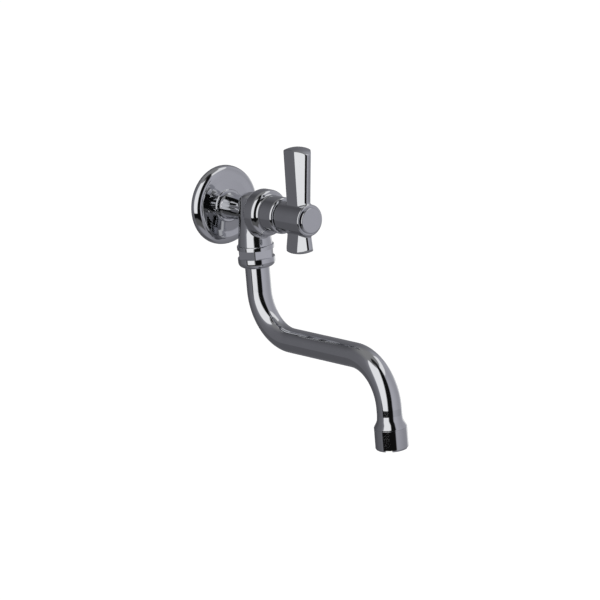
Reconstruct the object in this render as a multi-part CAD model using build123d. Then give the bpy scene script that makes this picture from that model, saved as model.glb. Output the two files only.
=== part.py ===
from build123d import *
import math
import os

# Wall-mounted kitchen tap, in millimetres.
# The wall is the plane Y = 0 and the tap reaches out along -Y, with +Z up.
# The origin is where the inlet's axis meets the wall. A "reach" is a distance from the wall.
# Every thread is a plain cylinder of one radius.

# Neck, rosette seat and threaded tail of the body
tail_radius = 10.48
tail_length = 12.0
tail_chamfer = 1.0
seat_radius = 10.0
seat_length = 9.8
neck_radius = 9.2
neck_step_length = 1.8
inlet_bore_radius = 5.5

# Bell of the body, which carries the headwork. Lengths and depths are from its front face.
rim_face_reach = 60.2
rim_radius = 17.0
rim_length = 14.2
rim_blend_radius = 5.0
rim_edge_setback = 4.1
rim_edge_radius = 4.2
collar_radius = 13.3
collar_length = 1.96
collar_blend_radius = 2.6
bell_length = 22.2
chamber_depth = 32.2
chamber_radius = 8.0
thread_depth = 19.2
thread_radius = 9.9

# Outlet barrel of the body, which has a domed top, and its thread for the union nut
outlet_setback = 24.7
barrel_top = 12.4
barrel_top_radius = 8.6
barrel_dome_radius = 5.0
barrel_radius = 12.6
barrel_length = 25.4
barrel_blend_radius = 3.0
barrel_thread_radius = 11.2
barrel_thread_length = 7.6
outlet_bore_radius = 7.0
spigot_bore_radius = 9.0
spigot_bore_depth = 19.5

# Rosette, whose rim is rounded over and whose face is flat and then rises to the collar as a cone
rosette_radius = 29.2
rosette_foot_bevel = 0.6
rosette_foot_width = 2.2
rosette_face_reach = 7.0
rosette_rim_radius = 6.0
rosette_cone_inset = 10.2
rosette_cone_blend_radius = 10.0
rosette_cone_angle = 6.0
rosette_collar_wall = 1.9
rosette_collar_height = 0.9
rosette_wall = 1.5
rosette_sleeve_wall = 3.2
rosette_oring_thickness = 1.6
rosette_oring_reach = 4.6

# Union nut
nut_radius = 13.6
nut_height = 16.4
nut_top_bevel = 0.8
nut_bottom_radius = 4.0
nut_flat_width = 24.0
nut_flat_top = 3.1
nut_flat_height = 6.2
nut_sides = 6
nut_turn = -12.0
nut_cavity_radius = 11.2
nut_flange_thickness = 3.4

# Headwork
seal_thickness = 2.2
nose_radius = 7.7
nose_overlap = 0.6
disc_radius = 6.75
disc_thickness = 3.55
disc_hole_radius = 1.9
disc_hole_offset = 3.9
driver_thickness = 3.5
driver_slot_depth = 2.3
washer_thickness = 1.2
flange_radius = 12.1
flange_thickness = 3.2
gasket_thickness = 0.8
headwork_neck_radius = 9.0
headwork_neck_length = 0.8
window_width = 7.0
window_length = 4.4
spindle_radius = 4.95
spindle_stub_length = 4.2
spindle_oring_thickness = 1.1
spindle_oring_places = (5.9, 10.9)
key_width = 3.0
key_depth = 1.2
key_inset = 1.0
stop_thickness = 2.0
stop_wall_inner_radius = 6.6
stop_wall_outer_radius = 8.2
stop_wall_angle = 176.0
stop_lug_margin_angle = 1.0
circlip_thickness = 0.8
circlip_radius = 6.4
circlip_groove_depth = 0.6
circlip_gap_width = 3.0

# Bonnet cover
cover_gap = 0.2
cover_length = 13.0
cover_radius = 13.3
cover_edge_radius = 2.2
cover_bore_radius = 11.2
cover_web_thickness = 2.6
cover_hole_radius = 7.2
cover_oring_thickness = 1.2

# Handle
hub_gap = 0.6
hub_radius = 11.5
hub_length = 28.2
hub_edge_radius = 1.2
hub_recess_radius = 9.2
hub_recess_depth = 4.0
cap_radius = 9.4
cap_seat_depth = 4.0
cap_stand_out = 2.0
cap_edge_radius = 0.9
cap_wall = 1.5
arm_setback = 12.8
arm_ridge_angle = 53.0
arm_ridge_radius = 4.0
arm_edge_radius = 1.2
arm_root_width = 12.0
arm_tip_width = 15.6
arm_cheek_length = 11.8
arm_dome_radius = 22.0
arm_dome_edge_radius = 1.0
arm_blend_radius = 1.5
long_arm_height = 51.8
short_arm_height = 25.6
handle_turn_at_rest = 4.0
handle_travel = 90.0

# Spindle's spline, its insert in the hub and the handle's screw
spline_radius = 4.0
spline_root_radius = 3.6
spline_teeth = 20
insert_radius = 6.0
insert_overhang = 0.3
screw_radius = 2.0
screw_hole_depth = 10.0
screw_end_gap = 1.0
screw_head_radius = 3.9
screw_head_height = 2.6
screw_seat_depth = 3.7
screw_web_thickness = 4.2
screw_socket_width = 3.0
screw_socket_depth = 1.6

# Spout
tube_radius = 9.0
tube_wall = 1.0
tube_drop_length = 23.3
bend_radius = 33.5
tube_run_length = 71.5
tube_end_length = 4.8
ferrule_flange_radius = 10.9
ferrule_flange_thickness = 3.1
ferrule_flange_gap = 0.2
ferrule_top_gap = 1.5
ferrule_bore_radius = 6.5
ferrule_tail_length = 7.0
spout_oring_thickness = 1.75
spout_oring_depths = (4.5, 12.0)
slide_ring_gap = 0.1

# Outlet socket and aerator
socket_radius = 11.8
socket_length = 9.4
socket_band_height = 0.7
socket_throat_swell = 0.3
socket_throat_length = 4.2
socket_flare_radius = 6.0
socket_bore_radius = 7.0
socket_thread_radius = 11.0
socket_thread_length = 5.2
socket_tail_length = 6.0
aerator_radius = 11.8
aerator_length = 15.6
aerator_edge_radius = 1.6
aerator_lip_radius = 9.2
aerator_lip_height = 1.4
aerator_bore_radius = 10.2
notch_width = 5.0
notch_height = 1.6
notch_turn = -52.0
washer_height = 1.5
insert_recess = 0.5
insert_hole_radius = 1.1
insert_hole_rings = ((0.0, 1), (3.4, 6), (6.8, 12))
screen_thickness = 0.4
screen_hole_radius = 0.55
screen_hole_pitch = 1.7
screen_field_radius = 7.2

# Clearances: a turning fit, a seated piece, and a gap between pieces that swing past each other
turning_clearance = 0.05
seat_clearance = 0.02
swing_clearance = 0.3

# Rounding of small turned edges, and how far a cutting body runs past the face that it cuts
fine_edge_radius = 0.3
small_edge_radius = 0.6
cut_margin = 1.0

# Reaches along the body and the headwork, from the wall outwards
neck_reach = seat_length + neck_step_length
bell_start_reach = rim_face_reach - bell_length
chamber_seat_reach = rim_face_reach - chamber_depth
thread_start_reach = rim_face_reach - thread_depth
outlet_reach = rim_face_reach - outlet_setback
disc_reach = chamber_seat_reach + seal_thickness
moving_disc_reach = disc_reach + disc_thickness + seat_clearance
driver_reach = moving_disc_reach + disc_thickness + seat_clearance
washer_reach = driver_reach + driver_thickness + seat_clearance
shoulder_reach = washer_reach + washer_thickness + seat_clearance
flange_reach = rim_face_reach + gasket_thickness
flange_front_reach = flange_reach + flange_thickness
headwork_front_reach = flange_front_reach + headwork_neck_length
stop_reach = headwork_front_reach + seat_clearance
circlip_reach = stop_reach + stop_thickness + seat_clearance
spline_back_reach = circlip_reach + circlip_thickness + spindle_stub_length
cover_start_reach = rim_face_reach + cover_gap
cover_front_reach = cover_start_reach + cover_length

# Reaches along the handle. The spindle and its screw end where the handle needs them.
hub_back_reach = cover_front_reach + hub_gap
hub_front_reach = hub_back_reach + hub_length
arm_reach = hub_front_reach - arm_setback
cap_seat_reach = hub_front_reach - cap_seat_depth
cap_front_reach = hub_front_reach + cap_stand_out
screw_seat_reach = cap_seat_reach - screw_seat_depth
insert_back_reach = hub_back_reach + hub_recess_depth
insert_front_reach = screw_seat_reach - screw_web_thickness
spline_front_reach = insert_front_reach - insert_overhang

# Heights down the outlet and the spout
barrel_bottom = -barrel_length
barrel_thread_bottom = barrel_bottom - barrel_thread_length
spigot_bore_top = barrel_thread_bottom + spigot_bore_depth
nut_top = barrel_bottom - seat_clearance
nut_bottom = nut_top - nut_height
nut_flange_top = nut_bottom + nut_flange_thickness
ferrule_top = spigot_bore_top - ferrule_top_gap
ferrule_flange_top = barrel_thread_bottom - ferrule_flange_gap
tube_top = ferrule_flange_top - ferrule_flange_thickness
slide_ring_top = tube_top - slide_ring_gap
tube_bend_start = tube_top - tube_drop_length
tube_end = tube_bend_start - 2 * bend_radius - tube_end_length
socket_bottom = tube_end - socket_length
socket_thread_bottom = socket_bottom - socket_thread_length
aerator_bottom = socket_bottom - aerator_length
spigot_radius = spigot_bore_radius - turning_clearance
tube_plug_radius = tube_radius - tube_wall - seat_clearance

spout_end_reach = outlet_reach + 2 * bend_radius + tube_run_length
tap_axis = Rot(X=90)
handle_turn = Rot(Y=handle_turn_at_rest)
outlet_place = Pos(0, -outlet_reach, 0)
spout_end_place = Pos(0, -spout_end_reach, 0)


def turned(outline):
    """A round piece about +Z from (radius, height) or (radius, height, corner radius) points."""
    points = [point[:2] for point in outline]
    corners = [point[2] if len(point) > 2 else 0 for point in outline]
    edge = FilletPolyline(*points, radius=corners, close=True)
    return revolve(Plane.XZ * make_face(edge), Axis.Z)


def ring(inner, outer, low, high):
    """A plain ring or, with an inner radius of 0, a plain disc between two heights."""
    return turned([(inner, low), (outer, low), (outer, high), (inner, high)])


def oring(outer_radius, thickness, height):
    return Pos(0, 0, height) * Torus(outer_radius - thickness / 2, thickness / 2)


def oring_groove(outer_radius, thickness, height):
    """The ring of metal that is cut away for an O-ring whose outside is flush with the shaft."""
    half = thickness / 2 + seat_clearance
    return ring(outer_radius - thickness - seat_clearance, outer_radius + cut_margin, height - half, height + half)


def ring_of_holes(rings, radius, low, high):
    """Drill bodies on circles given as (circle radius, count)."""
    holes = Part()
    for circle_radius, count in rings:
        for place in PolarLocations(circle_radius, count):
            holes += place * Pos(0, 0, (low + high) / 2) * Cylinder(radius, high - low)
    return holes


def sector(inner, outer, low, high, start_angle, angle):
    """A piece of a ring that spans an angle, in degrees from +X."""
    outline = Polyline((inner, low), (outer, low), (outer, high), (inner, high), close=True)
    piece = revolve(Plane.XZ * make_face(outline), Axis.Z, angle)
    return Rot(Z=start_angle) * piece


def make_valve_body():
    body = turned([
        (0, -tail_length), (tail_radius, -tail_length, tail_chamfer), (tail_radius, 0),
        (seat_radius, 0), (seat_radius, seat_length, small_edge_radius), (neck_radius, neck_reach),
        (neck_radius, bell_start_reach),
        (rim_radius, rim_face_reach - rim_length, rim_blend_radius),
        (rim_radius, rim_face_reach - rim_edge_setback, rim_edge_radius),
        (collar_radius, rim_face_reach - collar_length, collar_blend_radius),
        (collar_radius, rim_face_reach), (0, rim_face_reach),
    ])
    body = tap_axis * body
    barrel = outlet_place * turned([
        (0, barrel_bottom), (barrel_radius, barrel_bottom),
        (barrel_top_radius, barrel_top, barrel_dome_radius), (0, barrel_top),
    ])
    body = body + barrel
    seam = [edge for edge in body.edges() if edge.geom_type not in (GeomType.LINE, GeomType.CIRCLE)]
    body = fillet(seam, barrel_blend_radius)
    body += outlet_place * ring(0, barrel_thread_radius, barrel_thread_bottom, barrel_bottom)
    body -= tap_axis * ring(0, inlet_bore_radius, -tail_length - cut_margin, chamber_seat_reach + cut_margin)
    body -= tap_axis * ring(0, chamber_radius, chamber_seat_reach, thread_start_reach + cut_margin)
    body -= tap_axis * ring(0, thread_radius, thread_start_reach, rim_face_reach + cut_margin)
    body -= outlet_place * ring(0, outlet_bore_radius, spigot_bore_top - cut_margin, 0)
    body -= outlet_place * ring(0, spigot_bore_radius, barrel_thread_bottom - cut_margin, spigot_bore_top)
    body -= tap_axis * oring_groove(seat_radius, rosette_oring_thickness, rosette_oring_reach)
    return body


def make_wall_rosette():
    bore = seat_radius + seat_clearance
    collar_outer_radius = bore + rosette_collar_wall
    foot_radius = rosette_radius - rosette_foot_bevel
    cone_radius = rosette_radius - rosette_cone_inset
    slope = math.tan(math.radians(rosette_cone_angle))
    cone_reach = rosette_face_reach + slope * (cone_radius - collar_outer_radius)
    collar_reach = cone_reach + rosette_collar_height
    outer = turned([
        (bore, 0), (foot_radius, 0), (rosette_radius, rosette_foot_bevel),
        (rosette_radius, rosette_face_reach, rosette_rim_radius),
        (cone_radius, rosette_face_reach, rosette_cone_blend_radius),
        (collar_outer_radius, cone_reach, small_edge_radius),
        (collar_outer_radius, collar_reach, small_edge_radius), (bore, collar_reach),
    ])
    hollow_radius = foot_radius - rosette_foot_width
    hollow_reach = rosette_face_reach - rosette_wall
    sleeve_radius = bore + rosette_sleeve_wall
    sleeve_reach = hollow_reach + slope * (cone_radius - sleeve_radius)
    inside = turned([
        (sleeve_radius, -cut_margin), (hollow_radius, -cut_margin),
        (hollow_radius, hollow_reach, rosette_rim_radius - rosette_foot_width - rosette_foot_bevel),
        (cone_radius, hollow_reach), (sleeve_radius, sleeve_reach, small_edge_radius),
    ])
    return tap_axis * (outer - inside)


def make_rosette_oring():
    return tap_axis * oring(seat_radius, rosette_oring_thickness, rosette_oring_reach)


def make_union_nut():
    nut = turned([
        (0, nut_bottom), (nut_radius, nut_bottom, nut_bottom_radius), (nut_radius, nut_top, nut_top_bevel),
        (0, nut_top),
    ])
    flats_top = nut_top - nut_flat_top
    band = ring(0, nut_radius + cut_margin, flats_top - nut_flat_height, flats_top)
    hexagon = RegularPolygon(nut_flat_width / 2, nut_sides, major_radius=False)
    core = Pos(0, 0, nut_bottom) * Rot(Z=nut_turn) * extrude(hexagon, nut_height)
    nut -= band - core
    nut -= ring(0, barrel_thread_radius + seat_clearance, barrel_thread_bottom, nut_top + cut_margin)
    nut -= ring(0, nut_cavity_radius, nut_flange_top, barrel_thread_bottom)
    nut -= ring(0, tube_radius + swing_clearance, nut_bottom - cut_margin, nut_flange_top)
    return outlet_place * nut


def make_slide_ring():
    low = nut_flange_top
    return outlet_place * ring(tube_radius + swing_clearance, nut_cavity_radius - seat_clearance, low, slide_ring_top)


def make_seat_seal():
    return tap_axis * ring(inlet_bore_radius, nose_radius, chamber_seat_reach, disc_reach)


def make_headwork_body():
    nose_end = thread_start_reach + nose_overlap
    screwed_radius = thread_radius - seat_clearance
    body = turned([
        (0, disc_reach), (nose_radius, disc_reach, fine_edge_radius), (nose_radius, nose_end),
        (screwed_radius, nose_end, fine_edge_radius), (screwed_radius, flange_reach),
        (flange_radius, flange_reach), (flange_radius, flange_front_reach, fine_edge_radius),
        (headwork_neck_radius, flange_front_reach), (headwork_neck_radius, headwork_front_reach),
        (0, headwork_front_reach),
    ])
    body += sector(
        stop_wall_inner_radius, stop_wall_outer_radius, headwork_front_reach - cut_margin,
        headwork_front_reach + stop_thickness, 0, stop_wall_angle,
    )
    body -= ring(0, disc_radius + turning_clearance, disc_reach - cut_margin, shoulder_reach)
    spindle_bore_end = headwork_front_reach + cut_margin
    body -= ring(0, spindle_radius + turning_clearance, shoulder_reach - cut_margin, spindle_bore_end)
    window = Box(window_width, 4 * nose_radius, window_length)
    body -= Pos(0, 0, thread_start_reach - window_length / 2) * window
    body -= oring_groove(flange_radius, cover_oring_thickness, flange_reach + flange_thickness / 2)
    return tap_axis * body


def make_headwork_gasket():
    return tap_axis * ring(thread_radius, flange_radius, rim_face_reach, flange_reach)


def make_cover_oring():
    return tap_axis * oring(flange_radius, cover_oring_thickness, flange_reach + flange_thickness / 2)


def make_bonnet_cover():
    web_reach = cover_front_reach - cover_web_thickness
    cover = turned([
        (0, cover_start_reach), (cover_radius, cover_start_reach),
        (cover_radius, cover_front_reach, cover_edge_radius), (0, cover_front_reach),
    ])
    cover -= ring(0, flange_radius + seat_clearance, cover_start_reach - cut_margin, flange_front_reach + seat_clearance)
    cover -= ring(0, cover_bore_radius, cover_start_reach, web_reach)
    cover -= ring(0, cover_hole_radius, web_reach - cut_margin, cover_front_reach + cut_margin)
    return tap_axis * cover


def disc_holes(low, high, angle):
    """The two waterways of a disc. An angle of 90 puts them above and below the tap's axis."""
    holes = ring_of_holes(((disc_hole_offset, 2),), disc_hole_radius, low - cut_margin, high + cut_margin)
    return Rot(Z=angle) * holes


def make_fixed_disc():
    high = disc_reach + disc_thickness
    return tap_axis * (ring(0, disc_radius, disc_reach, high) - disc_holes(disc_reach, high, 90))


def make_moving_disc():
    high = moving_disc_reach + disc_thickness
    disc = ring(0, disc_radius, moving_disc_reach, high)
    disc -= disc_holes(moving_disc_reach, high, 90 - handle_travel)
    slot_width = key_width + 2 * turning_clearance
    slot = Pos(0, 0, high) * Box(slot_width, 2 * (disc_radius + cut_margin), 2 * (key_depth + seat_clearance))
    return tap_axis * (disc - Rot(Z=90 - handle_travel) * slot)


def spline(clearance, low, high):
    """A toothed shaft, or with a clearance the toothed hole that goes over it."""
    half_tooth = math.pi / spline_teeth
    teeth = []
    for tooth in range(spline_teeth):
        for radius, turn in ((spline_radius, 0), (spline_root_radius, half_tooth)):
            angle = 2 * half_tooth * tooth + turn
            teeth.append(((radius + clearance) * math.cos(angle), (radius + clearance) * math.sin(angle)))
    return Pos(0, 0, low) * extrude(make_face(Polyline(*teeth, close=True)), high - low)


def make_spindle():
    spindle = turned([
        (0, driver_reach), (disc_radius, driver_reach), (disc_radius, driver_reach + driver_thickness),
        (spindle_radius, driver_reach + driver_thickness), (spindle_radius, spline_back_reach, fine_edge_radius),
        (0, spline_back_reach),
    ])
    key_turn = Rot(Z=90 - handle_travel)
    waterway = Box(4 * disc_radius, 2 * disc_hole_radius, 2 * driver_slot_depth)
    waterway -= Box(2 * (disc_hole_offset - disc_hole_radius), 4 * disc_radius, 2 * driver_slot_depth)
    spindle -= Pos(0, 0, driver_reach) * key_turn * waterway
    key = Box(key_width, 2 * (disc_radius - key_inset), key_depth)
    spindle += Pos(0, 0, driver_reach - key_depth / 2) * key_turn * key
    spindle += spline(0, spline_back_reach, spline_front_reach)
    hole_start = spline_front_reach - screw_hole_depth
    spindle -= ring(0, screw_radius + turning_clearance, hole_start, spline_front_reach + cut_margin)
    for place in spindle_oring_places:
        spindle -= oring_groove(spindle_radius, spindle_oring_thickness, shoulder_reach + place)
    groove_low = circlip_reach - seat_clearance
    groove_high = circlip_reach + circlip_thickness + seat_clearance
    spindle -= ring(spindle_radius - circlip_groove_depth, spindle_radius + cut_margin, groove_low, groove_high)
    return tap_axis * spindle


def make_spindle_orings():
    reaches = [shoulder_reach + place for place in spindle_oring_places]
    return Compound([tap_axis * oring(spindle_radius, spindle_oring_thickness, reach) for reach in reaches])


def make_thrust_washer():
    return tap_axis * ring(
        spindle_radius + turning_clearance, disc_radius, washer_reach, washer_reach + washer_thickness,
    )


def make_stop_ring():
    ring_radius = stop_wall_inner_radius - swing_clearance
    lug_start = stop_wall_angle + stop_lug_margin_angle
    lug_angle = 360 - handle_travel - stop_lug_margin_angle - lug_start
    high = stop_reach + stop_thickness
    stop = ring(spindle_radius + seat_clearance, ring_radius, stop_reach, high)
    stop += sector(spindle_radius + seat_clearance, stop_wall_outer_radius, stop_reach, high, lug_start, lug_angle)
    return tap_axis * stop


def make_spindle_circlip():
    high = circlip_reach + circlip_thickness
    clip = ring(spindle_radius - circlip_groove_depth + seat_clearance, circlip_radius, circlip_reach, high)
    clip -= Pos(0, -circlip_radius, circlip_reach) * Box(circlip_gap_width, 2 * circlip_radius, 4 * circlip_thickness)
    return tap_axis * clip


def arm_section(width):
    """Outline of an arm seen along its length: flat cheeks at +-X, a rounded ridge to front and back."""
    side = width / 2
    cheek = arm_cheek_length / 2
    ridge = cheek + side * math.tan(math.radians(arm_ridge_angle))
    points = [(side, -cheek), (side, cheek), (0, ridge), (-side, cheek), (-side, -cheek), (0, -ridge)]
    corners = [arm_edge_radius, arm_edge_radius, arm_ridge_radius] * 2
    return make_face(FilletPolyline(*points, radius=corners, close=True))


def make_arm(height):
    """One arm standing on the hub's axis, with a domed end. Its root width is the one at the hub's surface."""
    taper = (arm_tip_width - arm_root_width) / (height - hub_radius)
    root = arm_section(arm_root_width - taper * hub_radius)
    tip = arm_section(arm_tip_width)
    arm = loft([root, Pos(0, 0, height) * tip], ruled=True)
    around = Pos(0, 0, height) * Cylinder(2 * arm_dome_radius, 2 * arm_dome_radius)
    arm -= around - Pos(0, 0, height - arm_dome_radius) * Sphere(arm_dome_radius)
    dome = arm.faces().filter_by(GeomType.SPHERE)[0]
    return fillet(dome.edges(), arm_dome_edge_radius)


def lies_round_hub(edge):
    """True for the curves in which an arm meets the hub's round side."""
    if edge.geom_type in (GeomType.LINE, GeomType.CIRCLE):
        return False
    places = [edge @ share for share in (0, 0.5, 1)]
    return all(abs(math.hypot(place.X, place.Z) - hub_radius) < seat_clearance for place in places)


def make_handle():
    hub = turned([
        (0, hub_back_reach), (hub_radius, hub_back_reach, hub_edge_radius),
        (hub_radius, hub_front_reach, hub_edge_radius), (0, hub_front_reach),
    ])
    arms = make_arm(long_arm_height) + Rot(X=180) * make_arm(short_arm_height)
    handle = tap_axis * hub + Pos(0, -arm_reach, 0) * arms
    seam = [edge for edge in handle.edges() if lies_round_hub(edge)]
    handle = fillet(seam, arm_blend_radius)
    cavity = ring(0, hub_recess_radius, hub_back_reach - cut_margin, insert_back_reach)
    cavity += ring(0, insert_radius, hub_back_reach, insert_front_reach)
    cavity += ring(0, screw_radius + swing_clearance, insert_front_reach - cut_margin, cap_seat_reach)
    cavity += ring(0, screw_head_radius + swing_clearance, screw_seat_reach, cap_seat_reach + cut_margin)
    cavity += ring(0, cap_radius + seat_clearance, cap_seat_reach, hub_front_reach + cut_margin)
    handle -= tap_axis * cavity
    return handle_turn * handle


def make_index_cap():
    cap = turned([
        (0, cap_seat_reach), (cap_radius, cap_seat_reach), (cap_radius, cap_front_reach, cap_edge_radius),
        (0, cap_front_reach),
    ])
    cap -= ring(0, cap_radius - cap_wall, cap_seat_reach - cut_margin, cap_front_reach - cap_wall)
    return tap_axis * cap


def make_spline_insert():
    bush = ring(0, insert_radius - seat_clearance, insert_back_reach, insert_front_reach)
    teeth = spline(seat_clearance, insert_back_reach - cut_margin, insert_front_reach + cut_margin)
    return tap_axis * (bush - teeth)


def make_handle_screw():
    shank_reach = spline_front_reach - screw_hole_depth + screw_end_gap
    head_reach = screw_seat_reach + screw_head_height
    screw = ring(0, screw_radius, shank_reach, screw_seat_reach)
    screw += turned([
        (0, screw_seat_reach), (screw_head_radius, screw_seat_reach),
        (screw_head_radius, head_reach, small_edge_radius), (0, head_reach),
    ])
    hexagon = RegularPolygon(screw_socket_width / 2, 6, major_radius=False)
    screw -= Pos(0, 0, head_reach - screw_socket_depth) * extrude(hexagon, screw_socket_depth + cut_margin)
    return tap_axis * screw


def spout_route():
    """The tube's centre line, from under the ferrule's flange to its lower end."""
    run_height = tube_bend_start - bend_radius
    run_start = outlet_reach + bend_radius
    run_end = run_start + tube_run_length
    outlet = run_end + bend_radius
    first = Line((0, -outlet_reach, tube_top), (0, -outlet_reach, tube_bend_start))
    bend = TangentArc((0, -outlet_reach, tube_bend_start), (0, -run_start, run_height), tangent=(0, 0, -1))
    run = Line((0, -run_start, run_height), (0, -run_end, run_height))
    drop = TangentArc((0, -run_end, run_height), (0, -outlet, run_height - bend_radius), tangent=(0, -1, 0))
    last = Line((0, -outlet, run_height - bend_radius), (0, -outlet, tube_end))
    return Wire([first, bend, run, drop, last])


def make_spout_tube():
    route = spout_route()
    start = Plane(route @ 0, z_dir=route % 0)
    wall = start * (Circle(tube_radius) - Circle(tube_radius - tube_wall))
    return sweep(wall, path=route)


def make_spout_ferrule():
    tail_bottom = tube_top - ferrule_tail_length
    ferrule = turned([
        (ferrule_bore_radius, tail_bottom), (tube_plug_radius, tail_bottom),
        (tube_plug_radius, tube_top), (ferrule_flange_radius, tube_top),
        (ferrule_flange_radius, ferrule_flange_top), (spigot_radius, ferrule_flange_top),
        (spigot_radius, ferrule_top, small_edge_radius), (ferrule_bore_radius, ferrule_top),
    ])
    for depth in spout_oring_depths:
        ferrule -= oring_groove(spigot_radius, spout_oring_thickness, ferrule_top - depth)
    return outlet_place * ferrule


def make_spout_orings():
    heights = [ferrule_top - depth for depth in spout_oring_depths]
    return Compound([outlet_place * oring(spigot_radius, spout_oring_thickness, height) for height in heights])


def make_outlet_socket():
    tail_top = tube_end + socket_tail_length
    socket = turned([
        (socket_bore_radius, socket_thread_bottom), (socket_thread_radius, socket_thread_bottom, fine_edge_radius),
        (socket_thread_radius, socket_bottom), (socket_radius, socket_bottom),
        (socket_radius, socket_bottom + socket_band_height, small_edge_radius),
        (tube_radius + socket_throat_swell, tube_end - socket_throat_length, socket_flare_radius),
        (tube_radius, tube_end), (tube_plug_radius, tube_end), (tube_plug_radius, tail_top),
        (socket_bore_radius, tail_top),
    ])
    return spout_end_place * socket


def make_aerator_housing():
    housing_top = socket_bottom - seat_clearance
    lip_top = aerator_bottom + aerator_lip_height
    housing = turned([
        (0, aerator_bottom), (aerator_radius, aerator_bottom, aerator_edge_radius),
        (aerator_radius, housing_top, fine_edge_radius), (0, housing_top),
    ])
    housing -= ring(0, aerator_lip_radius, aerator_bottom - cut_margin, lip_top)
    housing -= ring(0, aerator_bore_radius, lip_top, socket_thread_bottom)
    housing -= ring(0, socket_thread_radius + seat_clearance, socket_thread_bottom, socket_bottom + cut_margin)
    for turn in (0, 90):
        notch = Box(4 * aerator_radius, notch_width, 2 * notch_height)
        housing -= Pos(0, 0, aerator_bottom) * Rot(Z=notch_turn + turn) * notch
    return spout_end_place * housing


def make_aerator_washer():
    low = socket_thread_bottom - washer_height
    washer = ring(socket_bore_radius, aerator_bore_radius - seat_clearance, low, socket_thread_bottom)
    return spout_end_place * washer


def make_aerator_screen():
    top = socket_thread_bottom - washer_height
    screen = ring(0, aerator_bore_radius - seat_clearance, top - screen_thickness, top)
    count = int(2 * screen_field_radius / screen_hole_pitch)
    for place in HexLocations(screen_hole_pitch / 2, count, count):
        if place.position.length < screen_field_radius:
            screen -= Pos(0, 0, top) * place * Cylinder(screen_hole_radius, 4 * screen_thickness)
    return spout_end_place * screen


def make_aerator_insert():
    top = socket_thread_bottom - washer_height - screen_thickness
    shoulder = aerator_bottom + aerator_lip_height
    low = aerator_bottom + insert_recess
    insert = ring(0, aerator_bore_radius - seat_clearance, shoulder, top)
    insert += ring(0, aerator_lip_radius - seat_clearance, low, shoulder)
    insert -= ring_of_holes(insert_hole_rings, insert_hole_radius, low - cut_margin, top + cut_margin)
    return spout_end_place * insert


pieces = {
    "valve_body": make_valve_body,
    "wall_rosette": make_wall_rosette,
    "rosette_oring": make_rosette_oring,
    "union_nut": make_union_nut,
    "slide_ring": make_slide_ring,
    "seat_seal": make_seat_seal,
    "headwork_body": make_headwork_body,
    "headwork_gasket": make_headwork_gasket,
    "cover_oring": make_cover_oring,
    "bonnet_cover": make_bonnet_cover,
    "fixed_disc": make_fixed_disc,
    "moving_disc": make_moving_disc,
    "spindle": make_spindle,
    "spindle_orings": make_spindle_orings,
    "thrust_washer": make_thrust_washer,
    "stop_ring": make_stop_ring,
    "spindle_circlip": make_spindle_circlip,
    "handle": make_handle,
    "index_cap": make_index_cap,
    "spline_insert": make_spline_insert,
    "handle_screw": make_handle_screw,
    "spout_tube": make_spout_tube,
    "spout_ferrule": make_spout_ferrule,
    "spout_orings": make_spout_orings,
    "outlet_socket": make_outlet_socket,
    "aerator_housing": make_aerator_housing,
    "aerator_washer": make_aerator_washer,
    "aerator_screen": make_aerator_screen,
    "aerator_insert": make_aerator_insert,
}

os.makedirs("parts", exist_ok=True)
for name, make_piece in pieces.items():
    piece = make_piece()
    export_step(piece, f"parts/{name}.step")
    print(name, len(piece.solids()), round(piece.volume, 1))
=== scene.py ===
import math
import bmesh
import bpy
from mathutils import Matrix, Vector


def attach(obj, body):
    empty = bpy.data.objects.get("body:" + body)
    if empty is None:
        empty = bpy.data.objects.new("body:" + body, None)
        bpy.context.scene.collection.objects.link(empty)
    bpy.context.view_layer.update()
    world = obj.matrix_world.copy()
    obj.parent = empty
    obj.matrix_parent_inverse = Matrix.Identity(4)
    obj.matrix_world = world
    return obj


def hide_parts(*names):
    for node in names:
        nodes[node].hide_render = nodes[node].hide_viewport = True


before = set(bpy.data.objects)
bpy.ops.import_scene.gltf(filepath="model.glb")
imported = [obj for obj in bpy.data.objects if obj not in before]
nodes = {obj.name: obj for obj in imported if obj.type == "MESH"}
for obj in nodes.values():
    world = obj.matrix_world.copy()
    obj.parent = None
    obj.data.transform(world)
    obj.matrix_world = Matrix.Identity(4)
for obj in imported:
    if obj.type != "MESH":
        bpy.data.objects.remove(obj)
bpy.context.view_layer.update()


# The studio: grey walls and table, a tall white panel left of the lens with black cloths beside and
# below it, a dark cloth overhead, and white panels high on the right and low behind on the right.
# The plating mirrors these, and the photograph's own bands say where each one stands.
def linear(hex_colour):
    """An sRGB hex colour, such as C8C9CB, as linear RGBA."""
    parts = [int(hex_colour[place:place + 2], 16) / 255 for place in (0, 2, 4)]
    return [part / 12.92 if part <= 0.04045 else ((part + 0.055) / 1.055) ** 2.4 for part in parts] + [1.0]


def add(tree, kind, inputs=None, **settings):
    """Adds a node with its settings. An input is a value or the output that it is linked from."""
    node = tree.nodes.new("ShaderNode" + kind)
    for name, value in settings.items():
        setattr(node, name, value)
    for name, value in (inputs or {}).items():
        if isinstance(value, bpy.types.NodeSocket):
            tree.links.new(value, node.inputs[name])
        else:
            node.inputs[name].default_value = value
    return node


def start_material(name):
    """A new material and its node tree, which is still empty."""
    material = bpy.data.materials.new(name)
    material.use_nodes = True
    material.node_tree.nodes.clear()
    return material, material.node_tree


def stand(name, data):
    """A new object with this data, put in the scene."""
    item = bpy.data.objects.new(name, data)
    bpy.context.scene.collection.objects.link(item)
    return item


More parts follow.
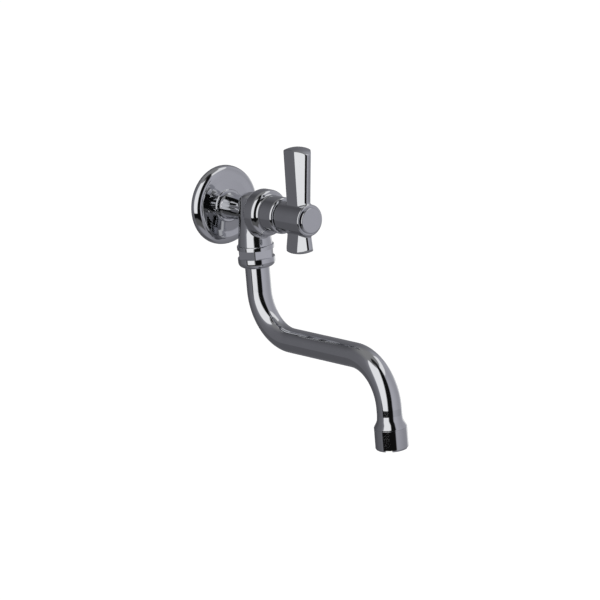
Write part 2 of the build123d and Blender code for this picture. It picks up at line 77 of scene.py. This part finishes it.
camera_azimuth = math.radians(-37.84)
camera_elevation = math.radians(13.62)
camera_roll = math.radians(-4.81)
camera_distance = 2.60784
camera_target = Vector((0.0, -0.080, -0.060))
away = Vector((
    math.sin(camera_azimuth) * math.cos(camera_elevation),
    -math.cos(camera_azimuth) * math.cos(camera_elevation),
    math.sin(camera_elevation),
))
level = Vector((math.cos(camera_azimuth), math.sin(camera_azimuth), 0.0))
upright = away.cross(level)
right = math.cos(camera_roll) * level + math.sin(camera_roll) * upright
up = away.cross(right)
camera = stand("camera", bpy.data.cameras.new("camera"))
camera_place = Matrix.Translation(camera_target + camera_distance * away)
camera.matrix_world = camera_place @ Matrix((right, up, away)).transposed().to_4x4()
camera.data.sensor_width = 36.0
camera.data.lens = 217.5
camera.data.shift_x = 0.0040
camera.data.shift_y = -0.0029
camera.data.clip_end = 100.0
bpy.context.scene.camera = camera
bpy.context.scene.view_settings.view_transform = "Standard"

# Tone of the grey walls at the tap's own height by azimuth in degrees, from behind on the left
# (-180) past the front (0) to behind on the right (180), and the tone of what lies below it.
wall_tones = [
    (-180, 68), (-160, 79), (-142, 92), (-125, 94), (-110, 101), (-97, 122), (-90, 130), (-20, 150),
    (0, 159), (15, 157), (35, 150), (60, 141), (80, 144), (95, 149), (108, 140), (122, 112), (140, 95),
    (160, 88), (180, 68),
]
table_tones = [
    (-180, 78), (-145, 80), (-120, 90), (-100, 106), (-75, 128), (-20, 132), (10, 127), (60, 114), (90, 107),
    (120, 108), (150, 90), (180, 78),
]
ceiling_tone = 120
wall_blue = 1.09
ceiling_start = 38.0
ceiling_end = 72.0
table_start = -13.0
table_end = -20.0
# The share of the light that the plating gives back, so that a tone is the one seen in the mirror
mirror_share = 0.58


def mirrored(tone, blue=1.0):
    """The linear RGBA light that the plating mirrors as this grey tone of 255."""
    light = linear(f"{tone:02X}" * 3)[0] / mirror_share
    return (light, light, light * blue, 1.0)


world = bpy.data.worlds.new("studio")
bpy.context.scene.world = world
world.use_nodes = True
tree = world.node_tree
tree.nodes.clear()
facing = add(tree, "SeparateXYZ", {0: add(tree, "TexCoord").outputs["Generated"]})
toward_front = add(tree, "Math", {0: facing.outputs["Y"], 1: -1.0}, operation="MULTIPLY")
turn = add(tree, "Math", {0: facing.outputs["X"], 1: toward_front.outputs[0]}, operation="ARCTAN2")
azimuth = add(tree, "Math", {0: turn.outputs[0]}, operation="DEGREES").outputs[0]
rise = add(tree, "Math", {0: facing.outputs["Z"]}, operation="ARCSINE")
elevation = add(tree, "Math", {0: rise.outputs[0]}, operation="DEGREES").outputs[0]
round_share = add(tree, "MapRange", {"Value": azimuth, "From Min": -180.0, "From Max": 180.0})
ramps = []
for tones in (wall_tones, table_tones):
    ramp = add(tree, "ValToRGB", {"Fac": round_share.outputs["Result"]})
    stops = ramp.color_ramp.elements
    while len(stops) < len(tones):
        stops.new(0.5)
    for stop, (place, tone) in zip(stops, tones):
        stop.position = (place + 180) / 360
    for stop, (place, tone) in zip(stops, tones):
        stop.color = mirrored(tone, wall_blue)
    ramps.append(ramp.outputs["Color"])
high = add(tree, "MapRange", {
    "Value": elevation, "From Min": ceiling_start, "From Max": ceiling_end,
}, interpolation_type="SMOOTHSTEP")
room = add(tree, "Mix", {
    0: high.outputs["Result"], 6: ramps[0], 7: mirrored(ceiling_tone),
}, data_type="RGBA")
low = add(tree, "MapRange", {
    "Value": elevation, "From Min": table_start, "From Max": table_end,
}, interpolation_type="SMOOTHSTEP")
below_and_above = add(tree, "Mix", {
    0: low.outputs["Result"], 6: room.outputs[2], 7: ramps[1],
}, data_type="RGBA")
view = below_and_above.outputs[2]

# Each sheet: tone, left and right edge, softness, lower and upper edge, softness, lean. They are the
# table's dim edge, the black cloth below the panel, the panel, the leaning black cloth beside it, the
# dark cloth overhead, the panel high on the right and the one low behind on the right.
sheets = [
    (80, -104, -12, 6, -46, -24, 4.0, 0.0),
    (14, -104, -7, 4, -27, -10, 3.0, 0.0),
    (221, -96, -20, 2.5, -14.3, 61, 0.5, 0.0),
    (14, -47.5, -6.5, 5, -27, 74, 3.0, 0.25),
    (36, -70, 20, 10, 68, 86, 4.0, 0.0),
    (214, 11, 98, 4, 47, 65, 2.0, 0.0),
    (196, 99, 131, 5, -21, 3, 3.5, 0.0),
]
for tone, left, right_edge, soft, bottom, top, soft_ends, lean in sheets:
    leaning = add(tree, "Math", {0: elevation, 1: -lean, 2: azimuth}, operation="MULTIPLY_ADD").outputs[0]
    cover = None
    for value, start, end in (
        (leaning, left - soft, left + soft), (leaning, right_edge + soft, right_edge - soft),
        (elevation, bottom - soft_ends, bottom + soft_ends), (elevation, top + soft_ends, top - soft_ends),
    ):
        edge = add(tree, "MapRange", {
            "Value": value, "From Min": start, "From Max": end,
        }, interpolation_type="SMOOTHSTEP")
        if cover is None:
            cover = edge.outputs["Result"]
        else:
            cover = add(tree, "Math", {0: cover, 1: edge.outputs["Result"]}, operation="MULTIPLY").outputs[0]
    view = add(tree, "Mix", {0: cover, 6: view, 7: mirrored(tone)}, data_type="RGBA").outputs[2]

# Only the mirrors see that room. The lens sees plain white, and matt surfaces are lit by a light grey.
path = add(tree, "LightPath")
plain = add(tree, "Mix", {
    0: path.outputs["Is Camera Ray"], 6: (0.82, 0.82, 0.82, 1.0), 7: (1.0, 1.0, 1.0, 1.0),
}, data_type="RGBA")
seen = add(tree, "Mix", {0: path.outputs["Is Glossy Ray"], 6: plain.outputs[2], 7: view}, data_type="RGBA")
background = add(tree, "Background", {"Color": seen.outputs[2], "Strength": 1.0})
add(tree, "OutputWorld", {"Surface": background.outputs[0]})

ceiling_lamp = stand("ceiling_lamp", bpy.data.lights.new("ceiling_lamp", "AREA"))
ceiling_lamp.data.size = 2.4
ceiling_lamp.data.energy = 26.0
ceiling_lamp.location = (-0.6, -0.9, 2.4)
ceiling_lamp.rotation_euler = (math.radians(-20), math.radians(-14), 0.0)
ceiling_lamp.visible_glossy = False

floor_drop = -1.5
floor_reach = 30.0
floor_mesh = bpy.data.meshes.new("floor")
shape = bmesh.new()
bmesh.ops.create_grid(shape, x_segments=1, y_segments=1, size=floor_reach)
bmesh.ops.translate(shape, verts=shape.verts, vec=(0.0, 0.0, floor_drop))
shape.to_mesh(floor_mesh)
shape.free()
floor = stand("floor", floor_mesh)
floor.visible_glossy = False

# Matt white paper, a little brightened for the lens alone, so that it meets the background unseen.
paper, tree = start_material("white matt paper sweep")
path = add(tree, "LightPath")
sheet = add(tree, "BsdfDiffuse", {"Color": linear("F4F4F4")})
lift = add(tree, "Emission", {"Color": (1.0, 1.0, 1.0, 1.0), "Strength": path.outputs["Is Camera Ray"]})
faint = add(tree, "Emission", {"Color": (0.0, 0.0, 0.0, 1.0)})
share = add(tree, "MixShader", {0: 0.3, 1: faint.outputs[0], 2: lift.outputs[0]})
both = add(tree, "AddShader", {0: sheet.outputs[0], 1: share.outputs[0]})
add(tree, "OutputMaterial", {"Surface": both.outputs[0]})
floor.data.materials.append(paper)


# Valve body: one brass casting, turned on the tap's axis and on the outlet's, ground and polished,
# then nickel and chrome plated. The plating ends at the wall: the G1/2 tail and the machined water
# ways stay bare brass.
def dress(material, *names):
    """Gives every material slot of these CAD nodes one material."""
    for name in names:
        for slot in nodes[name].material_slots:
            slot.material = material


# A dark mirror with a cool white tint. The haze keeps its edges from looking like cut paper, and the
# polisher's faint waves make long reflections waver.
chrome, tree = start_material("polished chrome plating")
coords = add(tree, "TexCoord").outputs["Object"]
haze = add(tree, "TexNoise", {"Vector": coords, "Scale": 90.0, "Detail": 3.0})
scuffs = add(tree, "TexNoise", {"Vector": coords, "Scale": 1400.0, "Detail": 2.0})
mixed = add(tree, "Math", {0: haze.outputs["Fac"], 1: scuffs.outputs["Fac"]}, operation="MULTIPLY")
rough = add(tree, "MapRange", {
    "Value": mixed.outputs[0], "From Min": 0.1, "From Max": 0.4, "To Min": 0.03, "To Max": 0.075,
})
ripple = add(tree, "TexNoise", {"Vector": coords, "Scale": 110.0, "Detail": 1.0})
bump = add(tree, "Bump", {"Strength": 1.0, "Distance": 0.000012, "Height": ripple.outputs["Fac"]})
tint = add(tree, "Mix", {0: haze.outputs["Fac"], 6: linear("C5C6C9"), 7: linear("CBCCCF")}, data_type="RGBA")
plating = add(tree, "BsdfPrincipled", {
    "Base Color": tint.outputs[2], "Metallic": 1.0,
    "Roughness": rough.outputs["Result"], "Normal": bump.outputs["Normal"],
})
add(tree, "OutputMaterial", {"Surface": plating.outputs[0]})

# Warm yellow metal under the plating, with the lathe's fine grooves and the dull bloom of brass that
# was never polished. It shows behind the wall's plane, in the chamber and the thread ahead of it, and
# in the outlet's bore. These limits are in metres, from the tap's axis or from the outlet's.
outlet_reach = 0.0355
wall_plane = 0.00002
chamber_limit = 0.0086
thread_limit = 0.01
thread_bare_reach = -0.0399
outlet_limit = 0.0095
outlet_bare_height = -0.008
body_metal = chrome.copy()
body_metal.name = "chrome plating over turned brass"
tree = body_metal.node_tree
coords = add(tree, "TexCoord").outputs["Object"]
place = add(tree, "SeparateXYZ", {0: coords})
across = add(tree, "CombineXYZ", {"X": place.outputs["X"], "Y": place.outputs["Z"]})
tap_radius = add(tree, "VectorMath", {0: across.outputs[0]}, operation="LENGTH").outputs["Value"]
from_outlet = add(tree, "Mapping", {
    "Vector": coords, "Location": (0.0, outlet_reach, 0.0), "Scale": (1.0, 1.0, 0.0),
})
outlet_radius = add(tree, "VectorMath", {0: from_outlet.outputs[0]}, operation="LENGTH").outputs["Value"]
behind_wall = add(tree, "Math", {0: place.outputs["Y"], 1: wall_plane}, operation="GREATER_THAN")
in_chamber = add(tree, "Math", {0: tap_radius, 1: chamber_limit}, operation="LESS_THAN")
in_thread = add(tree, "Math", {0: tap_radius, 1: thread_limit}, operation="LESS_THAN")
past_chamber = add(tree, "Math", {0: place.outputs["Y"], 1: thread_bare_reach}, operation="LESS_THAN")
threaded = add(tree, "Math", {0: in_thread.outputs[0], 1: past_chamber.outputs[0]}, operation="MULTIPLY")
in_outlet = add(tree, "Math", {0: outlet_radius, 1: outlet_limit}, operation="LESS_THAN")
below = add(tree, "Math", {0: place.outputs["Z"], 1: outlet_bare_height}, operation="LESS_THAN")
water_way = add(tree, "Math", {0: in_outlet.outputs[0], 1: below.outputs[0]}, operation="MULTIPLY")
bare = behind_wall
for other in (in_chamber, threaded, water_way):
    bare = add(tree, "Math", {0: bare.outputs[0], 1: other.outputs[0]}, operation="MAXIMUM")
bloom = add(tree, "TexNoise", {"Vector": coords, "Scale": 160.0, "Detail": 4.0})
warm = add(tree, "Mix", {0: bloom.outputs["Fac"], 6: linear("B48A4B"), 7: linear("D9B773")}, data_type="RGBA")
feed = add(tree, "CombineXYZ", {"X": tap_radius, "Y": place.outputs["Y"]})
grooves = add(tree, "TexNoise", {"Vector": feed.outputs[0], "Scale": 5200.0, "Detail": 1.0})
dull = add(tree, "MapRange", {
    "Value": bloom.outputs["Fac"], "From Min": 0.3, "From Max": 0.7, "To Min": 0.2, "To Max": 0.36,
})
turned = add(tree, "Bump", {"Strength": 1.0, "Distance": 0.00001, "Height": grooves.outputs["Fac"]})
brass = add(tree, "BsdfPrincipled", {
    "Base Color": warm.outputs[2], "Metallic": 1.0,
    "Roughness": dull.outputs["Result"], "Normal": turned.outputs["Normal"],
})
metal = add(tree, "MixShader", {
    0: bare.outputs[0], 1: tree.nodes["Principled BSDF"].outputs[0], 2: brass.outputs[0],
})
tree.links.new(metal.outputs[0], tree.nodes["Material Output"].inputs["Surface"])


def move_to_radius(vert, radius):
    """Moves a vertex square to the tap's axis until it is this far from it."""
    share = radius / math.hypot(vert.co.x, vert.co.z)
    vert.co.x *= share
    vert.co.z *= share


def write_shape(shape, mesh, crease):
    """Smooths the shape but for edges sharper than the crease in degrees, and writes it to the mesh."""
    bmesh.ops.recalc_face_normals(shape, faces=shape.faces)
    for edge in shape.edges:
        edge.smooth = edge.calc_face_angle(0.0) < math.radians(crease)
    for face in shape.faces:
        face.smooth = True
    shape.to_mesh(mesh)
    shape.free()


# The casting is the body's own mesh, merged, with its tail turned down to a core that the thread sits
# on. All radii and reaches here are in metres, and +Y points into the wall.
core_radius = 0.0091
tail_start = -0.00001
tail_limit = 0.0102
tail_end_start = 0.001
tail_end_limit = 0.0093
casting_mesh = nodes["valve_body"].data.copy()
shape = bmesh.new()
shape.from_mesh(casting_mesh)
bmesh.ops.remove_doubles(shape, verts=shape.verts, dist=0.000001)
for vert in shape.verts:
    radius = math.hypot(vert.co.x, vert.co.z)
    on_tail = vert.co.y > tail_start and radius > tail_limit
    on_tail_end = vert.co.y > tail_end_start and radius > tail_end_limit
    if on_tail or on_tail_end:
        move_to_radius(vert, core_radius)
bmesh.ops.dissolve_degenerate(shape, dist=0.0000001, edges=shape.edges)
write_shape(shape, casting_mesh, 24)
casting_mesh.materials.clear()
casting_mesh.materials.append(body_metal)
casting = stand("valve_body_casting", casting_mesh)
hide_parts("valve_body")
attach(casting, "tap_body")

# The G1/2 thread: one rounded ridge, wound round the tail with the standard's pitch and depth, and
# bevelled at its outer end where the tap starts in the pipe's socket.
pitch = 0.001814
crest_radius = 0.01048
root_radius = 0.00932
thread_start = 0.0003
thread_end = 0.0118
lead_start = 0.011
foot_radius = core_radius - 0.00005
profile = (
    (0.0, 0.0), (0.06, 0.03), (0.12, 0.14), (0.38, 0.86), (0.44, 0.97), (0.5, 1.0),
    (0.56, 0.97), (0.62, 0.86), (0.88, 0.14), (0.94, 0.03), (1.0, 0.0),
)
turns = math.ceil((thread_end - thread_start) / pitch) + 2
steps = 72
shape = bmesh.new()
line = [
    shape.verts.new((
        root_radius + height * (crest_radius - root_radius), thread_start + (along - 2) * pitch, 0.0,
    ))
    for along, height in profile
]
line_edges = [shape.edges.new(pair) for pair in zip(line, line[1:])]
bmesh.ops.spin(
    shape, geom=line + line_edges, cent=(0.0, 0.0, 0.0), axis=(0.0, 1.0, 0.0), dvec=(0.0, pitch / steps, 0.0),
    angle=math.radians(360) * turns, steps=steps * turns, use_merge=False,
)
bmesh.ops.remove_doubles(shape, verts=shape.verts, dist=0.000002)
for reach, outwards in ((thread_start, -1.0), (thread_end, 1.0)):
    bmesh.ops.bisect_plane(
        shape, geom=shape.verts[:] + shape.edges[:] + shape.faces[:], dist=0.0000001,
        plane_co=(0.0, reach, 0.0), plane_no=(0.0, outwards, 0.0), clear_outer=True,
    )
for vert in shape.verts:
    limit = crest_radius - max(0.0, vert.co.y - lead_start)
    if math.hypot(vert.co.x, vert.co.z) > limit:
        move_to_radius(vert, limit)
open_edges = [edge for edge in shape.edges if edge.is_boundary]
ends = bmesh.ops.extrude_edge_only(shape, edges=open_edges)
for vert in ends["geom"]:
    if isinstance(vert, bmesh.types.BMVert):
        move_to_radius(vert, foot_radius)
thread_mesh = bpy.data.meshes.new("inlet_thread")
write_shape(shape, thread_mesh, 40)
thread_mesh.materials.append(body_metal)
thread = stand("inlet_thread", thread_mesh)
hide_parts("valve_body")
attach(thread, "tap_body")


# Rosette: a brass pressing with a rolled rim and a soldered collar, plated like the body. It slides
# over the body's seat, where an O-ring of black nitrile rubber holds it against the wall.
dress(chrome, "wall_rosette")

# Almost black and without gloss, a little greyer where the mould's talc stays on the skin.
rubber, tree = start_material("black nitrile rubber")
coords = add(tree, "TexCoord").outputs["Object"]
talc = add(tree, "TexNoise", {"Vector": coords, "Scale": 600.0, "Detail": 4.0})
skin = add(tree, "TexNoise", {"Vector": coords, "Scale": 4000.0, "Detail": 2.0})
shade = add(tree, "Mix", {0: talc.outputs["Fac"], 6: linear("161617"), 7: linear("2B2B2C")}, data_type="RGBA")
matt = add(tree, "MapRange", {"Value": talc.outputs["Fac"], "To Min": 0.5, "To Max": 0.8})
bump = add(tree, "Bump", {"Strength": 1.0, "Distance": 0.00002, "Height": skin.outputs["Fac"]})
moulded = add(tree, "BsdfPrincipled", {
    "Base Color": shade.outputs[2], "Roughness": matt.outputs["Result"], "Normal": bump.outputs["Normal"],
})
add(tree, "OutputMaterial", {"Surface": moulded.outputs[0]})
dress(rubber, "rosette_oring")


# Ceramic headwork: a turned brass body, screwed into the body's chamber on a rubber seal and a flat
# gasket. Two lapped discs inside it open and shut the water way.
dress(rubber, "seat_seal", "headwork_gasket")

# Yellow metal with concentric turning marks round the tap's axis, which draw out its highlights.
turned_brass, tree = start_material("turned brass")
coords = add(tree, "TexCoord").outputs["Object"]
place = add(tree, "SeparateXYZ", {0: coords})
across = add(tree, "CombineXYZ", {"X": place.outputs["X"], "Y": place.outputs["Z"]})
tap_radius = add(tree, "VectorMath", {0: across.outputs[0]}, operation="LENGTH")
feed = add(tree, "CombineXYZ", {"X": tap_radius.outputs["Value"], "Y": place.outputs["Y"]})
grooves = add(tree, "TexNoise", {"Vector": feed.outputs[0], "Scale": 5200.0, "Detail": 1.0})
bloom = add(tree, "TexNoise", {"Vector": coords, "Scale": 220.0, "Detail": 4.0})
warm = add(tree, "Mix", {0: bloom.outputs["Fac"], 6: linear("BE9450"), 7: linear("DDBC7A")}, data_type="RGBA")
dull = add(tree, "MapRange", {
    "Value": grooves.outputs["Fac"], "From Min": 0.3, "From Max": 0.7, "To Min": 0.16, "To Max": 0.3,
})
bump = add(tree, "Bump", {"Strength": 1.0, "Distance": 0.000008, "Height": grooves.outputs["Fac"]})
metal = add(tree, "BsdfPrincipled", {
    "Base Color": warm.outputs[2], "Metallic": 1.0,
    "Roughness": dull.outputs["Result"], "Normal": bump.outputs["Normal"],
})
add(tree, "OutputMaterial", {"Surface": metal.outputs[0]})
dress(turned_brass, "headwork_body")

# Dense ivory ceramic, lapped to a soft sheen, with grains that show as faint specks.
alumina, tree = start_material("lapped alumina ceramic")
coords = add(tree, "TexCoord").outputs["Object"]
grain = add(tree, "TexVoronoi", {"Vector": coords, "Scale": 2600.0})
cloud = add(tree, "TexNoise", {"Vector": coords, "Scale": 300.0, "Detail": 3.0})
shade = add(tree, "Mix", {0: cloud.outputs["Fac"], 6: linear("E2DCCB"), 7: linear("EFEBE0")}, data_type="RGBA")
sheen = add(tree, "MapRange", {"Value": grain.outputs["Distance"], "To Min": 0.14, "To Max": 0.3})
fired = add(tree, "BsdfPrincipled", {
    "Base Color": shade.outputs[2], "Roughness": sheen.outputs["Result"], "IOR": 1.77,
})
add(tree, "OutputMaterial", {"Surface": fired.outputs[0]})
dress(alumina, "fixed_disc", "moving_disc")


# Spindle: turned from brass bar, with the driver that carries the moving disc and a milled spline.
# It turns on an acetal washer, is sealed by two O-rings and held by a circlip in front of the stop.
dress(turned_brass, "spindle", "stop_ring")
dress(rubber, "spindle_orings")

# Milky white with a waxy gloss: light goes a little way in, and the mould's fine spark grain shows.
acetal, tree = start_material("white moulded acetal")
coords = add(tree, "TexCoord").outputs["Object"]
flow = add(tree, "TexNoise", {"Vector": coords, "Scale": 180.0, "Detail": 2.0})
spark = add(tree, "TexNoise", {"Vector": coords, "Scale": 6000.0, "Detail": 2.0})
shade = add(tree, "Mix", {0: flow.outputs["Fac"], 6: linear("E4E3DD"), 7: linear("F0EFEA")}, data_type="RGBA")
waxy = add(tree, "MapRange", {"Value": spark.outputs["Fac"], "To Min": 0.3, "To Max": 0.5})
bump = add(tree, "Bump", {"Strength": 1.0, "Distance": 0.000006, "Height": spark.outputs["Fac"]})
moulded = add(tree, "BsdfPrincipled", {
    "Base Color": shade.outputs[2], "Roughness": waxy.outputs["Result"], "Normal": bump.outputs["Normal"],
    "Subsurface Weight": 0.2, "Subsurface Radius": (1.0, 0.95, 0.85), "Subsurface Scale": 0.0006,
})
add(tree, "OutputMaterial", {"Surface": moulded.outputs[0]})
dress(acetal, "thrust_washer")

# Cold grey steel with a directionless tumbled finish, duller than the plating beside it.
stainless, tree = start_material("tumbled stainless steel")
coords = add(tree, "TexCoord").outputs["Object"]
tumbled = add(tree, "TexNoise", {"Vector": coords, "Scale": 2200.0, "Detail": 4.0})
shade = add(tree, "Mix", {
    0: tumbled.outputs["Fac"], 6: linear("9FA1A4"), 7: linear("BDBEC0"),
}, data_type="RGBA")
dull = add(tree, "MapRange", {
    "Value": tumbled.outputs["Fac"], "From Min": 0.3, "From Max": 0.7, "To Min": 0.2, "To Max": 0.38,
})
bump = add(tree, "Bump", {"Strength": 1.0, "Distance": 0.000004, "Height": tumbled.outputs["Fac"]})
metal = add(tree, "BsdfPrincipled", {
    "Base Color": shade.outputs[2], "Metallic": 1.0,
    "Roughness": dull.outputs["Result"], "Normal": bump.outputs["Normal"],
})
add(tree, "OutputMaterial", {"Surface": metal.outputs[0]})
dress(stainless, "spindle_circlip")


# Bonnet cover: a plated brass sleeve with a rounded front edge, pushed over the headwork's flange,
# where an O-ring grips it. It turns with nothing and hides the stop and the circlip.
dress(rubber, "cover_oring")
dress(chrome, "bonnet_cover")


# Handle: a brass casting of a turned hub with two flared arms, polished and plated. It sits on the
# spindle's spline with an acetal bush and is held by a socket screw behind the cap.
dress(chrome, "handle")
dress(acetal, "spline_insert")
dress(stainless, "handle_screw")


# Index cap: a turned and plated disc that is pressed into the hub's front. Its face is left plain,
# so it mirrors the room as one even grey.
dress(chrome, "index_cap")


# Spout: a bent brass tube, plated, with a spigot brazed into its top. Two O-rings seal the spigot in
# the outlet, and the union nut holds its flange on an acetal ring, on which the spout swivels.
dress(chrome, "spout_tube", "union_nut")
dress(rubber, "spout_orings")
dress(acetal, "slide_ring")

# The same yellow metal as the headwork's, with its turning marks round the outlet's own axis.
ferrule_brass = turned_brass.copy()
ferrule_brass.name = "turned brass of the spigot"
tree = ferrule_brass.node_tree
coords = add(tree, "TexCoord").outputs["Object"]
from_outlet = add(tree, "Mapping", {"Vector": coords, "Location": (0.0, outlet_reach, 0.0)})
place = add(tree, "SeparateXYZ", {0: from_outlet.outputs[0]})
across = add(tree, "CombineXYZ", {"X": place.outputs["X"], "Y": place.outputs["Y"]})
outlet_radius = add(tree, "VectorMath", {0: across.outputs[0]}, operation="LENGTH")
feed = add(tree, "CombineXYZ", {"X": outlet_radius.outputs["Value"], "Y": place.outputs["Z"]})
tree.links.new(feed.outputs[0], tree.nodes["Noise Texture"].inputs["Vector"])
dress(ferrule_brass, "spout_ferrule")


# Outlet: a turned and plated socket on the tube's end, into which the aerator is screwed. The
# aerator's housing holds a washer, a steel sieve and an acetal flow straightener.
dress(chrome, "outlet_socket", "aerator_housing")
dress(rubber, "aerator_washer")
dress(stainless, "aerator_screen")
dress(acetal, "aerator_insert")
